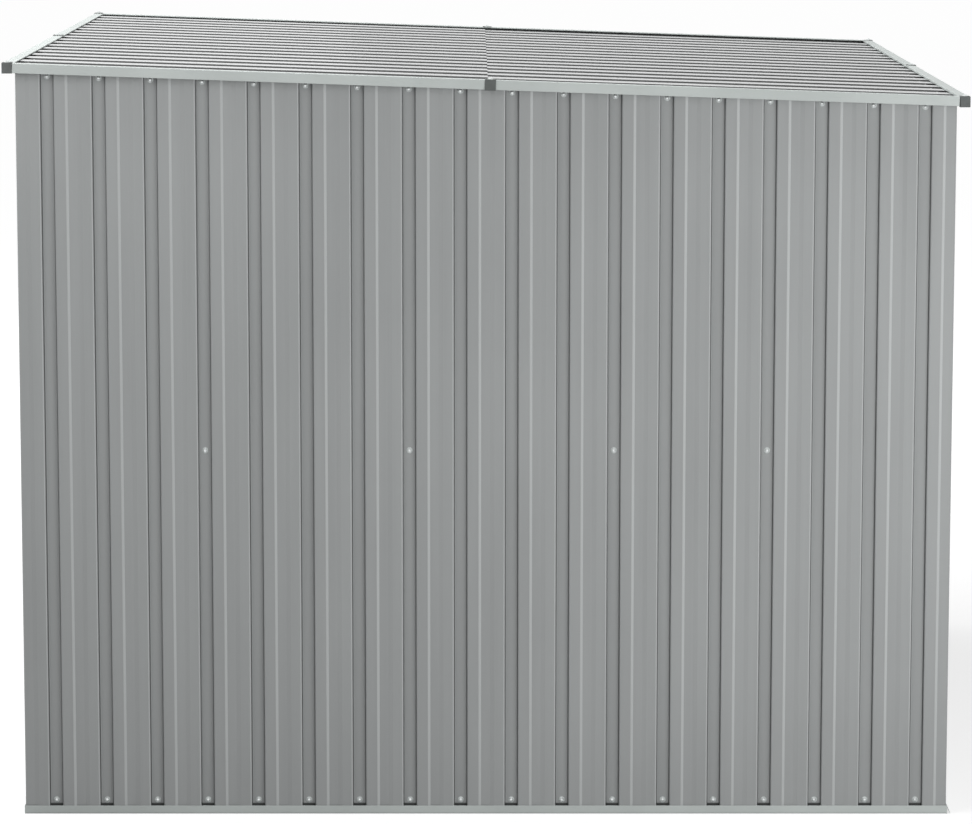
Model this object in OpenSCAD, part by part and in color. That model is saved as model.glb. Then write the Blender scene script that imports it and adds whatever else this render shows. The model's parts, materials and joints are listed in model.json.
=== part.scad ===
// Metal storage shed: ribbed sheet walls on base rails under a single-slope ribbed roof.
// Millimetres, +Z up, ground at z = 0. The photographed wall faces -Y, the high side is -X.

/* [Sheets] */
// Distance between neighbouring grooves of a wall sheet
rib_pitch = 121; // [90:1:150]
// Grooves along each wall
groove_count = 18; // [12:1:24]
// Width of a wall groove at its mouth
groove_mouth = 33; // [20:1:45]
// Width of a wall groove at its floor
groove_floor = 28; // [14:1:40]
// Depth of a wall groove
groove_depth = 9; // [5:0.5:15]
// Depth of the shallow recess along the middle of each crest
swage_depth = 1.8; // [0.6:0.1:3]
// Width of the first slope of that recess
swage_run = 6; // [3:0.5:10]
// Width of the other, flatter slope of that recess
swage_back = 10; // [3:0.5:16]
// Sheet thickness as modelled
sheet_t = 0.8; // [0.6:0.1:1.2]
// From the last groove to the end of a wall
wall_end = 73.5; // [60:0.5:90]
// Free space between pieces that lie on each other
fit = 0.1; // [0.05:0.05:0.2]
// Free space at each side of a lap in a groove
lap_play = 1; // [0.5:0.5:3]

/* [Roof] */
// Height of the roof edge above ground on the high side
high_top = 1800; // [1500:5:2200]
// Fall of the roof towards the low side in degrees
roof_slope = 2; // [1:0.1:6]
// Distance from the wall to the outside of the roof edge
overhang = 28; // [27:1:60]
// Width of a roof valley at its mouth
valley_mouth = 63; // [40:1:80]
// Width of a roof valley at its floor
valley_floor = 58; // [30:1:70]
// Depth of a roof valley
valley_depth = 6; // [4:0.5:10]
// From the near end of the roof sheets to the middle of the first valley
first_valley = 96; // [70:1:110]
// From the middle of the last valley to the far end of the roof sheets
last_valley = 38; // [36:1:70]
// Length of the lap between the two roof halves
roof_lap = 40; // [20:1:80]
// Lower edge of the high half, from the middle of the roof
lap_edge = 4; // [0:1:20]

/* [Roof edge] */
// Width of the edge rail seen from above
rail_w = 24; // [18:1:40]
// Height of the edge rail
rail_h = 23; // [20:1:40]
// Metal thickness of the edge rail
rail_t = 1.2; // [0.8:0.1:2]
// Height of the folded inner edge above the roof crests
hem_h = 3; // [2:0.5:6]
// Wall thickness of the plastic caps
cap_t = 1.5; // [1:0.1:3]
// Length of a joint cap along its rail
joint_cap_len = 26; // [18:1:40]
// Side of a square corner cap
corner_cap = 24; // [22:1:40]
// Joint of the near and far rails, from the middle
cap_joint = 10; // [0:1:40]
// Width of the open strip under a joint cap
cap_open = 4; // [2:1:8]

/* [Base] */
// Height of the outer lip of the base rail
lip_h = 20; // [14:1:40]
// Free space between the wall and that lip
lip_gap = 1.5; // [0.5:0.5:4]
// Metal thickness of the base rail
base_t = 1.2; // [0.8:0.1:2]
// Height of the inner lip of the base rail
inner_lip_h = 40; // [30:1:60]
// Flare at the foot of the low side lip
flare = 8; // [2:1:15]
// Joint of the near and far base rails, from the middle
base_joint = 28; // [0:1:60]

/* [Frame] */
// Side of the square frame sections inside
frame_w = 25; // [18:1:40]
// Metal thickness of the frame sections
frame_t = 1.5; // [1:0.1:3]
// Height of the mid braces above ground
brace_z = 880; // [600:5:1100]

/* [Doors] */
// Whole crests that the doorway takes
door_ribs = 8; // [6:2:10]
// From the top of the doorway up to the roof edge
over_door = 200; // [150:5:400]
// Width of the posts beside the doorway
jamb_w = 40; // [30:1:60]
// Depth of the posts and of the door leaves
jamb_d = 22; // [18:1:40]
// Width of the frame bars of a door leaf
stile_w = 32; // [25:1:50]
// Free space around a door leaf
door_gap = 3; // [2:0.5:6]
// Length of a door handle
handle_len = 180; // [120:5:300]
// Width of a door handle
handle_w = 18; // [12:1:30]
// How far a door handle stands out
handle_d = 22; // [18:1:25]
// Thickness of the grip of a door handle
handle_bar = 8; // [6:1:12]
// Height of each foot of a door handle
handle_foot = 25; // [15:1:40]
// Outer bend radius of a door handle
handle_bend = 10; // [4:1:14]
// Length of a hinge
hinge_len = 70; // [50:1:120]
// Width of an open hinge
hinge_w = 60; // [40:1:64]
// Thickness of a hinge
hinge_t = 2; // [1.5:0.5:4]
// Diameter of the barrel of a hinge
hinge_pin = 9; // [6:0.5:14]

/* [Hidden] */
half = (groove_count - 1) / 2 * rib_pitch + wall_end;
roof_half = half + overhang;
mid_top = high_top - tan(roof_slope) * roof_half;
rail_out = roof_half - cap_t;
crest_w = -(hem_h + fit);
sheet_end = rail_out - rail_w / 2;
valley_pitch = (2 * sheet_end - first_valley - last_valley) / (groove_count - 1);
valley_shift = (first_valley - last_valley) / 2;
wall_P = [groove_mouth / 2, groove_floor / 2, groove_depth, swage_depth, sheet_t, rib_pitch, 0];
roof_P = [valley_mouth / 2, valley_floor / 2, valley_depth, 0, sheet_t, valley_pitch, valley_shift];
lap_drop = sheet_t + fit;
valley_run = (valley_mouth - valley_floor) / 2;
half_drop = sheet_t * sqrt(pow(valley_run, 2) + pow(valley_depth, 2)) / valley_run + fit;
seat_high = crest_w - valley_depth - sheet_t - lap_drop - fit;
seat_low = seat_high - half_drop;
frame_v = groove_depth + sheet_t + lap_drop + fit;
corner_in = swage_depth + sheet_t + fit;
lip_out = lip_gap + base_t;
wall_bottom = base_t + fit;
door_half = door_ribs / 2 * rib_pitch;
door_h = high_top - over_door;
big = 4 * half;
seams = [0, 3, 7, 11, 14, groove_count - 1];
roof_seams = [0, 6, 12, groove_count - 1];

sheet_grey = [0.52, 0.53, 0.53];
rail_grey = [0.72, 0.74, 0.73];
cap_grey = [0.3, 0.31, 0.31];
zinc = [0.6, 0.61, 0.62];

// Ribbed sheet outline: P = [half mouth, half floor, depth, swage, thickness, pitch, shift]
function gx(P, k) = (k - (groove_count - 1) / 2) * P[5] + P[6];
function flank(P) = P[0] - P[1];
function skin(P) = P[4] * (sqrt(pow(flank(P), 2) + pow(P[2], 2)) - flank(P)) / P[2];
function third(P) = (P[5] - 2 * P[0]) / 3;
function step_up(P, u, dv) = P[3] == 0 ? [] : [[u - swage_back / 2, dv - P[3]], [u + swage_back / 2, dv]];
function step_down(P, u, dv) = P[3] == 0 ? [] : [[u - swage_run / 2, dv], [u + swage_run / 2, dv - P[3]]];
function floor_pts(P, k, s, dv) = [[gx(P, k) - P[1] - s, dv - P[2]], [gx(P, k) + P[1] + s, dv - P[2]]];
function crest_pts(P, k, s, dv) = concat(
  [[gx(P, k) + P[0] + s, dv]],
  step_down(P, gx(P, k) + P[0] + third(P), dv),
  step_up(P, gx(P, k + 1) - P[0] - third(P), dv),
  [[gx(P, k + 1) - P[0] - s, dv]]
);
function first_pts(P, reach, s, dv) = concat(
  [[-reach, dv - P[3]]],
  step_up(P, gx(P, 0) - P[0] - third(P), dv),
  [[gx(P, 0) - P[0] - s, dv]],
  floor_pts(P, 0, s, dv)
);
function last_pts(P, kb, reach, s, dv) = concat(
  floor_pts(P, kb, s, dv),
  [[gx(P, kb) + P[0] + s, dv]],
  step_down(P, gx(P, kb) + P[0] + third(P), dv),
  [[reach, dv - P[3]]]
);
function over_pts(P, k, s, dv) = [[gx(P, k) - P[1] + lap_play, dv - P[2]], [gx(P, k) + P[1] + s, dv - P[2]]];
function under_pts(P, k, s, dv) = [
  [gx(P, k) - P[1] - s, dv - P[2] - lap_drop],
  [gx(P, k) + P[1] - lap_play, dv - P[2] - lap_drop]
];
function run_pts(P, ka, kb, s, dv) = [
  for (k = [ka:kb - 1]) each concat(crest_pts(P, k, s, dv), k + 1 < kb ? floor_pts(P, k + 1, s, dv) : [])
];
function side_pts(P, ka, kb, reach, s, dv) = concat(
  ka == 0 ? first_pts(P, reach, s, dv) : over_pts(P, ka, s, dv),
  run_pts(P, ka, kb, s, dv),
  kb == groove_count - 1 ? last_pts(P, kb, reach, s, dv) : under_pts(P, kb, s, dv)
);
function backwards(a) = [for (i = [len(a) - 1:-1:0]) a[i]];
function outline(P, ka, kb, reach) = concat(
  side_pts(P, ka, kb, reach, 0, 0),
  backwards(side_pts(P, ka, kb, reach, skin(P), -P[4]))
);

// Frames: each wall is drawn along X with +Y outwards
module on_near() { translate([0, -half, 0]) mirror([0, 1, 0]) children(); }
module on_far() { translate([0, half, 0]) children(); }
module on_low() { translate([half, 0, 0]) rotate([0, 0, -90]) children(); }
module on_high() { translate([-half, 0, 0]) rotate([0, 0, 90]) children(); }
module on_roof() { translate([0, 0, mid_top]) rotate([0, roof_slope, 0]) children(); }

module sheet(i, reach) {
  translate([0, 0, wall_bottom]) linear_extrude(high_top)
    polygon(outline(wall_P, seams[i], seams[i + 1], reach));
}
module under_roof() {
  intersection() {
    children();
    on_roof() translate([-big / 2, -big / 2, seat_low - fit - big]) cube([big, big, big]);
  }
}

// Base rails: a channel that the sheets stand in, outer lip in front of the wall
module channel_profile(inner) {
  polygon([
    [-frame_v - base_t, 0], [lip_out, 0], [lip_out, lip_h], [lip_gap, lip_h], [lip_gap, base_t],
    [-frame_v, base_t], [-frame_v, inner], [-frame_v - base_t, inner]
  ]);
}
module drip_profile() {
  polygon([
    [lip_gap, lip_h], [lip_gap, 0], [lip_out, 0], [lip_out, lip_h - 2 * base_t],
    [lip_out + flare - base_t, base_t / 2], [lip_out + flare, base_t], [lip_out, lip_h]
  ]);
}
module lip_profile() { polygon([[lip_gap, 0], [lip_out, 0], [lip_out, lip_h], [lip_gap, lip_h]]); }
module along(x0, x1) { translate([x0, 0, 0]) rotate([90, 0, 90]) linear_extrude(x1 - x0) children(); }
corner_stop = half + lip_gap - fit;
inner_stop = half - frame_v - base_t - fit;
module long_base() {
  union() {
    along(-corner_stop, base_joint - fit) channel_profile(inner_lip_h);
    along(-half - lip_out, base_joint - fit) lip_profile();
  }
  union() {
    along(base_joint, corner_stop) channel_profile(inner_lip_h);
    along(base_joint, half + lip_out) lip_profile();
  }
}
module base_rail_near() { color(rail_grey) on_near() long_base(); }
module base_rail_far() { color(rail_grey) on_far() long_base(); }
module base_rail_high() {
  color(rail_grey) on_high() {
    union() {
      along(-inner_stop, -fit) channel_profile(lip_h);
      along(-corner_stop, -fit) lip_profile();
    }
    union() {
      along(0, inner_stop) channel_profile(lip_h);
      along(0, corner_stop) lip_profile();
    }
  }
}
module base_rail_low() {
  color(rail_grey) on_low() {
    union() {
      along(-inner_stop, -fit) channel_profile(inner_lip_h);
      along(-corner_stop, -fit) drip_profile();
    }
    union() {
      along(0, inner_stop) channel_profile(inner_lip_h);
      along(0, corner_stop) drip_profile();
    }
  }
}

// Walls
module near_wall_sheet_1() { color(sheet_grey) under_roof() on_near() sheet(0, half); }
module near_wall_sheet_2() { color(sheet_grey) under_roof() on_near() sheet(1, half); }
module near_wall_sheet_3() { color(sheet_grey) under_roof() on_near() sheet(2, half); }
module near_wall_sheet_4() { color(sheet_grey) under_roof() on_near() sheet(3, half); }
module near_wall_sheet_5() { color(sheet_grey) under_roof() on_near() sheet(4, half); }
module far_wall_sheets() { color(sheet_grey) for (i = [0:4]) under_roof() on_far() sheet(i, half); }
module low_wall_sheets() {
  color(sheet_grey) for (i = [0:4]) under_roof() on_low() sheet(i, half - corner_in);
}
module high_wall() {
  translate([0, 0, wall_bottom]) linear_extrude(high_top)
    polygon(outline(wall_P, 0, groove_count - 1, half - corner_in));
}
module high_wall_part(u0, u1, z0) {
  color(sheet_grey) under_roof() on_high() intersection() {
    high_wall();
    translate([u0, -big / 2, z0]) cube([u1 - u0, big, big]);
  }
}
module high_wall_sheet_near() { high_wall_part(-half, -door_half - jamb_w - fit, 0); }
module high_wall_sheet_far() { high_wall_part(door_half + jamb_w + fit, half, 0); }
module high_wall_sheet_over_door() {
  high_wall_part(-door_half - jamb_w + fit, door_half + jamb_w - fit, door_h + jamb_w + fit);
}

// Doors
// folded channel, outer face at y = 0, open towards the inside
module jamb_profile(w) {
  polygon([
    [0, 0], [0, -jamb_d], [frame_t, -jamb_d], [frame_t, -frame_t],
    [w - frame_t, -frame_t], [w - frame_t, -jamb_d], [w, -jamb_d], [w, 0]
  ]);
}
module door_jambs() {
  color(rail_grey) on_high() for (s = [-1, 1])
    translate([s * (door_half + jamb_w / 2) - jamb_w / 2, 0, lip_h + fit])
      linear_extrude(door_h - lip_h - 2 * fit) jamb_profile(jamb_w);
}
module door_header() {
  color(rail_grey) on_high() translate([door_half + jamb_w, 0, door_h]) rotate([0, -90, 0])
    linear_extrude(2 * (door_half + jamb_w)) jamb_profile(jamb_w);
}
leaf_w = door_half - 1.5 * door_gap;
leaf_z0 = lip_h + door_gap;
leaf_h = door_h - door_gap - leaf_z0;
module bar_ring(w, d, h, bar) {
  difference() {
    cube([w, d, h]);
    translate([bar, -bar, bar]) cube([w - 2 * bar, d + 2 * bar, h - 2 * bar]);
  }
}
module leaf_frame(u0) {
  // four folded channels, open towards the inside
  color(rail_grey) on_high() translate([u0, -jamb_d, leaf_z0]) difference() {
    bar_ring(leaf_w, jamb_d, leaf_h, stile_w);
    translate([frame_t, -frame_t, frame_t])
      bar_ring(leaf_w - 2 * frame_t, jamb_d, leaf_h - 2 * frame_t, stile_w - 2 * frame_t);
  }
}
module leaf_sheet(u0) {
  color(sheet_grey) on_high() intersection() {
    translate([0, -(jamb_d - groove_depth - sheet_t) / 2, 0]) high_wall();
    translate([u0 + stile_w + fit, -big / 2, leaf_z0 + stile_w + fit])
      cube([leaf_w - 2 * stile_w - 2 * fit, big, leaf_h - 2 * stile_w - 2 * fit]);
  }
}
module door_leaf_near_frame() { leaf_frame(-door_half + door_gap); }
module door_leaf_near_sheet() { leaf_sheet(-door_half + door_gap); }
module door_leaf_far_frame() { leaf_frame(door_gap / 2); }
module door_leaf_far_sheet() { leaf_sheet(door_gap / 2); }
handle_z = leaf_z0 + leaf_h / 2 + hinge_len;
function bend_pts(c, a0) = [for (i = [0:6]) c + handle_bend * [cos(a0 + 15 * i), sin(a0 + 15 * i)]];
module bow_profile() {
  polygon(concat(
    [[0, handle_foot], [0, 0]],
    bend_pts([handle_d - handle_bend, handle_bend], -90),
    bend_pts([handle_d - handle_bend, handle_len - handle_bend], 0),
    [[0, handle_len], [0, handle_len - handle_foot]],
    [[handle_d - handle_bar, handle_len - handle_foot], [handle_d - handle_bar, handle_foot]]
  ));
}
module door_handles() {
  color(cap_grey) on_high() for (s = [-1, 1])
    translate([s * (door_gap + stile_w) / 2 - handle_w / 2, fit, handle_z]) along(0, handle_w) bow_profile();
}
module door_hinges() {
  color(zinc) on_high() for (s = [-1, 1]) for (part = [0.14, 0.5, 0.86])
    translate([s * (door_half - door_gap / 2) - hinge_w / 2, fit, leaf_z0 + part * leaf_h - hinge_len / 2])
      union() {
        cube([hinge_w, hinge_t, hinge_len]);
        translate([hinge_w / 2, hinge_pin / 2, 0]) cylinder(d = hinge_pin, h = hinge_len, $fn = 32);
      }
}

// Frame inside
module angle_section(a, t) { polygon([[0, 0], [a, 0], [a, t], [t, t], [t, a], [0, a]]); }
top_run = half - frame_v - frame_w - fit;
module slope_angle(s) {
  // angle under the roof: one leg against the wall, one leg under the sheets
  mirror([0, s > 0 ? 1 : 0, 0]) {
    on_roof() translate([-top_run, -half + frame_v, seat_high]) rotate([90, 90, 90])
      linear_extrude(top_run - fit) angle_section(frame_w, frame_t);
    on_roof() translate([0, -half + frame_v, seat_low]) rotate([90, 90, 90])
      linear_extrude(top_run - fit) angle_section(frame_w, frame_t);
  }
}
module top_rails_sloping() { color(zinc) for (s = [-1, 1]) slope_angle(s); }
module top_rail_high() {
  color(zinc) on_roof() translate([-half + frame_v + fit, half - frame_v, seat_high]) rotate([90, 90, 0])
    linear_extrude(2 * (half - frame_v)) angle_section(frame_w, frame_t);
}
module top_rail_low() {
  color(zinc) on_roof() translate([half - frame_v - fit, -half + frame_v, seat_low]) rotate([90, 90, 180])
    linear_extrude(2 * (half - frame_v)) angle_section(frame_w, frame_t);
}
post_h = high_top - 2 * tan(roof_slope) * roof_half + seat_low - 2 * frame_w - inner_lip_h;
module corner_posts() {
  color(zinc) for (x = [-1, 1]) for (y = [-1, 1]) mirror([x > 0 ? 1 : 0, 0, 0]) mirror([0, y > 0 ? 1 : 0, 0])
    translate([-half + frame_v, -half + frame_v, inner_lip_h + fit])
      linear_extrude(post_h) angle_section(frame_w, frame_t);
}
module brace() {
  stop = half - frame_v - frame_w - fit;
  translate([-stop, -frame_v - frame_t, brace_z - frame_w / 2]) cube([2 * stop, frame_t, frame_w]);
}
module mid_braces() {
  color(zinc) {
    on_near() brace();
    on_far() brace();
    on_low() brace();
  }
}
beam_h = 2 * frame_w;
module roof_beam() {
  // channel across the middle, open towards the low side
  run = half - frame_v - frame_w - fit;
  color(zinc) on_roof() translate([-frame_w / 2, run, seat_low - beam_h]) rotate([90, 0, 0])
    linear_extrude(2 * run) polygon([
      [0, 0], [frame_w, 0], [frame_w, frame_t], [frame_t, frame_t],
      [frame_t, beam_h - frame_t], [frame_w, beam_h - frame_t], [frame_w, beam_h], [0, beam_h]
    ]);
}

// Roof
module roof_sheet(i, x0, x1, drop) {
  color(sheet_grey) on_roof() translate([x0, 0, crest_w - drop]) rotate([90, 0, 90])
    linear_extrude(x1 - x0) polygon(outline(roof_P, roof_seams[i], roof_seams[i + 1], sheet_end));
}
module roof_high_sheet_near() { roof_sheet(0, -sheet_end, lap_edge, 0); }
module roof_high_sheet_mid() { roof_sheet(1, -sheet_end, lap_edge, 0); }
module roof_high_sheet_far() { roof_sheet(2, -sheet_end, lap_edge, 0); }
module roof_low_sheet_near() { roof_sheet(0, lap_edge - roof_lap, sheet_end, half_drop); }
module roof_low_sheet_mid() { roof_sheet(1, lap_edge - roof_lap, sheet_end, half_drop); }
module roof_low_sheet_far() { roof_sheet(2, lap_edge - roof_lap, sheet_end, half_drop); }

// Roof edge: channel open towards the shed, outer face at v = 0, top at 0
module rail_profile(hem) {
  polygon([
    [0, 0], [0, -rail_h], [-rail_w, -rail_h], [-rail_w, -rail_h + rail_t], [-rail_t, -rail_h + rail_t],
    [-rail_t, -rail_t], [-rail_w + rail_t, -rail_t], [-rail_w + rail_t, -hem], [-rail_w, -hem], [-rail_w, 0]
  ]);
}
rail_stop = roof_half - corner_cap - 3 * fit;
module rail_pair(mid, hem) {
  along(-rail_stop, mid - fit) rail_profile(hem);
  along(mid, rail_stop) rail_profile(hem);
}
module roof_rail_near() {
  color(rail_grey) on_roof() translate([0, -rail_out, 0]) mirror([0, 1, 0]) rail_pair(cap_joint, hem_h);
}
module roof_rail_far() { color(rail_grey) on_roof() translate([0, rail_out, 0]) rail_pair(cap_joint, hem_h); }
module roof_rail_high() {
  color(rail_grey) on_roof() translate([-rail_out, 0, 0]) rotate([0, 0, 90]) rail_pair(0, hem_h);
}
// its folded edge reaches down to the crests of the lower roof half
module roof_rail_low() {
  color(rail_grey) on_roof() translate([rail_out, 0, 0]) rotate([0, 0, -90]) rail_pair(0, hem_h + half_drop);
}
module corner_cap_shell() {
  difference() {
    cube([corner_cap, corner_cap, rail_h + 2 * cap_t]);
    translate([cap_t, cap_t, -cap_t])
      cube([corner_cap - 2 * cap_t, corner_cap - 2 * cap_t, rail_h + 2 * cap_t]);
  }
}
module roof_corner_caps() {
  color(cap_grey) for (x = [-1, 1]) for (y = [-1, 1])
    translate([
      x * (roof_half - corner_cap / 2) - corner_cap / 2,
      y * (roof_half - corner_cap / 2) - corner_cap / 2,
      mid_top - tan(roof_slope) * x * roof_half - rail_h - cap_t
    ]) corner_cap_shell();
}
module joint_cap() {
  translate([-joint_cap_len / 2, 0, 0]) rotate([90, 0, 90]) linear_extrude(joint_cap_len) polygon([
    [cap_t, cap_t], [cap_t, -rail_h - cap_t],
    [-rail_w + cap_open, -rail_h - cap_t], [-rail_w + cap_open, -rail_h - fit],
    [fit, -rail_h - fit], [fit, fit], [-rail_w, fit], [-rail_w, cap_t]
  ]);
}
module roof_joint_caps() {
  color(cap_grey) on_roof() {
    translate([cap_joint, -rail_out, 0]) mirror([0, 1, 0]) joint_cap();
    translate([cap_joint, rail_out, 0]) joint_cap();
    translate([-rail_out, 0, 0]) rotate([0, 0, 90]) joint_cap();
    translate([rail_out, 0, 0]) rotate([0, 0, -90]) joint_cap();
  }
}

base_rail_near();
base_rail_far();
base_rail_high();
base_rail_low();
near_wall_sheet_1();
near_wall_sheet_2();
near_wall_sheet_3();
near_wall_sheet_4();
near_wall_sheet_5();
far_wall_sheets();
low_wall_sheets();
high_wall_sheet_near();
high_wall_sheet_far();
high_wall_sheet_over_door();
door_jambs();
door_header();
door_leaf_near_frame();
door_leaf_near_sheet();
door_leaf_far_frame();
door_leaf_far_sheet();
door_handles();
door_hinges();
top_rails_sloping();
top_rail_high();
top_rail_low();
corner_posts();
mid_braces();
roof_beam();
roof_high_sheet_near();
roof_high_sheet_mid();
roof_high_sheet_far();
roof_low_sheet_near();
roof_low_sheet_mid();
roof_low_sheet_far();
roof_rail_near();
roof_rail_far();
roof_rail_high();
roof_rail_low();
roof_corner_caps();
roof_joint_caps();
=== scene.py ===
"""Looks of a ribbed metal storage shed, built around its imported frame."""

import json
import math

import bmesh
import bpy
from bpy.props import FloatProperty, FloatVectorProperty, IntProperty, PointerProperty
from mathutils import Matrix, Vector


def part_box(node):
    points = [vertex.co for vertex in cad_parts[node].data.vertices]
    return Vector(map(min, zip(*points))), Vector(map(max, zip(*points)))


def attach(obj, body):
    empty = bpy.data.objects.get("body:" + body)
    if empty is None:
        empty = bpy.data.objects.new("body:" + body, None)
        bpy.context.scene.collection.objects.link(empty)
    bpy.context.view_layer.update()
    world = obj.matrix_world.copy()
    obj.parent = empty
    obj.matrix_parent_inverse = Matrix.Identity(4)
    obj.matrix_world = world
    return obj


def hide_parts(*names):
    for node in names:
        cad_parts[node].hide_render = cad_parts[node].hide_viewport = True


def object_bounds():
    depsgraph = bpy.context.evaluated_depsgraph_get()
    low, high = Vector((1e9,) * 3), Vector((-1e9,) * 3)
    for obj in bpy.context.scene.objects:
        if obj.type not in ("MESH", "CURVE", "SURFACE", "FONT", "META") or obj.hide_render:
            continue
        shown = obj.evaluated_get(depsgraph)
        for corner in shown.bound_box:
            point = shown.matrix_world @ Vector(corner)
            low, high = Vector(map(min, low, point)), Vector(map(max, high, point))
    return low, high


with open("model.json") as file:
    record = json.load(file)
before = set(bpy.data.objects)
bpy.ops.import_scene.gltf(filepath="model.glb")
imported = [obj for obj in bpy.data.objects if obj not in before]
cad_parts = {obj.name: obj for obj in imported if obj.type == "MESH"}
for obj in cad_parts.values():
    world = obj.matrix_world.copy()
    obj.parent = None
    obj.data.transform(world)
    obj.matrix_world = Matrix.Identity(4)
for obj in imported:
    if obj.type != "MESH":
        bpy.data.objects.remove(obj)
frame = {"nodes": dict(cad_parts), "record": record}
CAD_BOX = [list(corner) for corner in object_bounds()]

bl_info = {
    "name": "Metal storage shed",
    "version": (1, 0, 0),
    "blender": (4, 5, 0),
    "location": "3D View > Sidebar > Shed",
    "description": "Dresses the solids of a ribbed metal storage shed",
    "category": "Object",
}

MM = 0.001
BODY = "root"

# Gap between pieces that touch, and a sheet's edge to the flank of the groove where it laps
FIT, LAP_PLAY = 0.1 * MM, 1.0 * MM

# Grooves of a side, and those where its sheets lap, between the first and the last groove
GROOVES = 18
WALL_SEAMS = (0, 3, 7, 11, 14, 17)
ROOF_SEAMS = (0, 6, 12, 17)
# Grooves of the high wall that end above the doors
DOOR_GROOVES = range(5, 13)
# Length past the highest wall top that a sheet is drawn to before it is cut to the slope
TRIM_SPARE = 50.0 * MM
# Length of the flat at each end of the roof's profile, far past the ends of its sheets
FAR_OFF = 9.0

# Edge rails of the roof, and the hem that the roof sheets slide under
RAIL_WIDE, RAIL_TALL, RAIL_THICK, RAIL_BEND = 24.0 * MM, 23.0 * MM, 1.2 * MM, 0.9 * MM
HEM = 3.0 * MM

# Caps on those rails: wall, bend, opening below, play at the corners, and where the joints are
CAP_THICK, CAP_BEND, CAP_OPEN, CAP_PLAY = 1.5 * MM, 0.7 * MM, 4.0 * MM, 0.3 * MM
JOINT_CAP, CORNER_CAP, CORNER_ROUND, CORNER_STEPS = 26.0 * MM, 24.0 * MM, 2.2 * MM, 3
CAP_JOINT = {"near": 10.0 * MM, "far": 10.0 * MM, "high": 0.0, "low": 0.0}
CORNERS = ((-1, -1), (-1, 1), (1, -1), (1, 1))

# Base rails: outer lip and its gap to the wall, inner leg behind the wall's face, flare and joint
BASE_THICK, LIP_TALL, LIP_GAP, LIP_BEND = 1.2 * MM, 20.0 * MM, 1.5 * MM, 0.3 * MM
BASE_BACK, FLARE, BASE_JOINT = 10.8 * MM, 8.0 * MM, 28.0 * MM
# Rolled lower edge of a base rail: distance behind its face, and height
ROLLED_EDGE = ((2.4 * MM, 0.0), (0.7 * MM, 1.4 * MM), (0.0, 4.2 * MM))

# Folded bars of the doors and their frame, bow handles, and hinges in knuckles
JAMB_WIDE, STILE_WIDE = 40.0 * MM, 32.0 * MM
BAR_DEEP, BAR_THICK, BAR_BEND = 22.0 * MM, 1.5 * MM, 1.4 * MM
HANDLE_WIDE, HANDLE_BAR, HANDLE_FOOT, HANDLE_BEND = 18.0 * MM, 8.0 * MM, 25.0 * MM, 4.5 * MM
HINGE_WIDE, HINGE_TALL, HINGE_THICK, HINGE_ROUND = 60.0 * MM, 70.0 * MM, 2.0 * MM, 0.9 * MM
HINGE_STEPS, KNUCKLES, KNUCKLE_SIDES, KNUCKLE_GAP = 2, 3, 20, 0.4 * MM

# Screws: distance below the roof rail, heights at the foot and at the brace, distance in from the
# roof's ends and from a rail's edge, and from the middle of a hinge sideways and upwards
TOP_SCREW_DROP, FOOT_SCREW, BRACE_SCREW = 6.5 * MM, 32.0 * MM, 880.0 * MM
ROOF_SCREW_IN, CAP_SCREW_IN = 22.0 * MM, 10.8 * MM
HINGE_SCREWS = (19.0 * MM, 22.0 * MM)

# Places read from the frame
NEAR_FIRST, NEAR_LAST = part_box("near_wall_sheet_1"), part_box("near_wall_sheet_5")
HALF = -NEAR_FIRST[0].x
SHEET_END = -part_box("roof_high_sheet_near")[0].y
ROOF_HALF = CAD_BOX[1][1]
RAIL_OUT = ROOF_HALF - CAP_THICK
CAP_MIDDLE = ROOF_HALF - CORNER_CAP / 2
FALL = (NEAR_FIRST[1].z - NEAR_LAST[1].z) / (NEAR_LAST[0].x - NEAR_FIRST[0].x)
SLOPE = math.atan(FALL)
WALL_FOOT = NEAR_FIRST[0].z
WALL_MID_TOP = NEAR_FIRST[1].z + FALL * NEAR_FIRST[0].x
ROOF_MID_TOP = CAD_BOX[1][2] - CAP_THICK - FALL * ROOF_HALF


def four_sides(reach):
    """For each side, at that distance from the middle: turns u along it and v out of it into x and y."""
    return {
        "near": Matrix.Translation((0, -reach, 0)) @ Matrix.Diagonal((1, -1, 1, 1)),
        "far": Matrix.Translation((0, reach, 0)),
        "high": Matrix.Translation((-reach, 0, 0)) @ Matrix.Rotation(math.pi / 2, 4, "Z"),
        "low": Matrix.Translation((reach, 0, 0)) @ Matrix.Rotation(-math.pi / 2, 4, "Z"),
    }


WALLS = four_sides(HALF)
ROOF_SIDES = four_sides(RAIL_OUT)
ON_HIGH = WALLS["high"]
ON_ROOF = Matrix.Translation((0, 0, ROOF_MID_TOP)) @ Matrix.Rotation(SLOPE, 4, "Y")
ALONG_X = Matrix(((0, 0, 1, 0), (1, 0, 0, 0), (0, 1, 0, 0), (0, 0, 0, 1)))


def along(side, start):
    """Turns a section so that it is drawn out along a side, from start."""
    return side @ Matrix.Translation((start, 0, 0)) @ ALONG_X


def wall_top(x):
    """Height of the cut top of a wall at x."""
    return WALL_MID_TOP - FALL * x


def roof_top(x):
    """Height of the top of the roof rails at x."""
    return ROOF_MID_TOP - FALL * x


# Sizes, colours and light that a user may change
def length(name, text, metres):
    """A size in metres."""
    return FloatProperty(
        name=name, description=text, default=metres, min=0.0, max=5.0, unit="LENGTH", precision=4
    )


def colour(name, text, rgb):
    """The colour of a finish."""
    return FloatVectorProperty(
        name=name, description=text, default=rgb, size=3, min=0.0, max=1.0, subtype="COLOR"
    )


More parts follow.
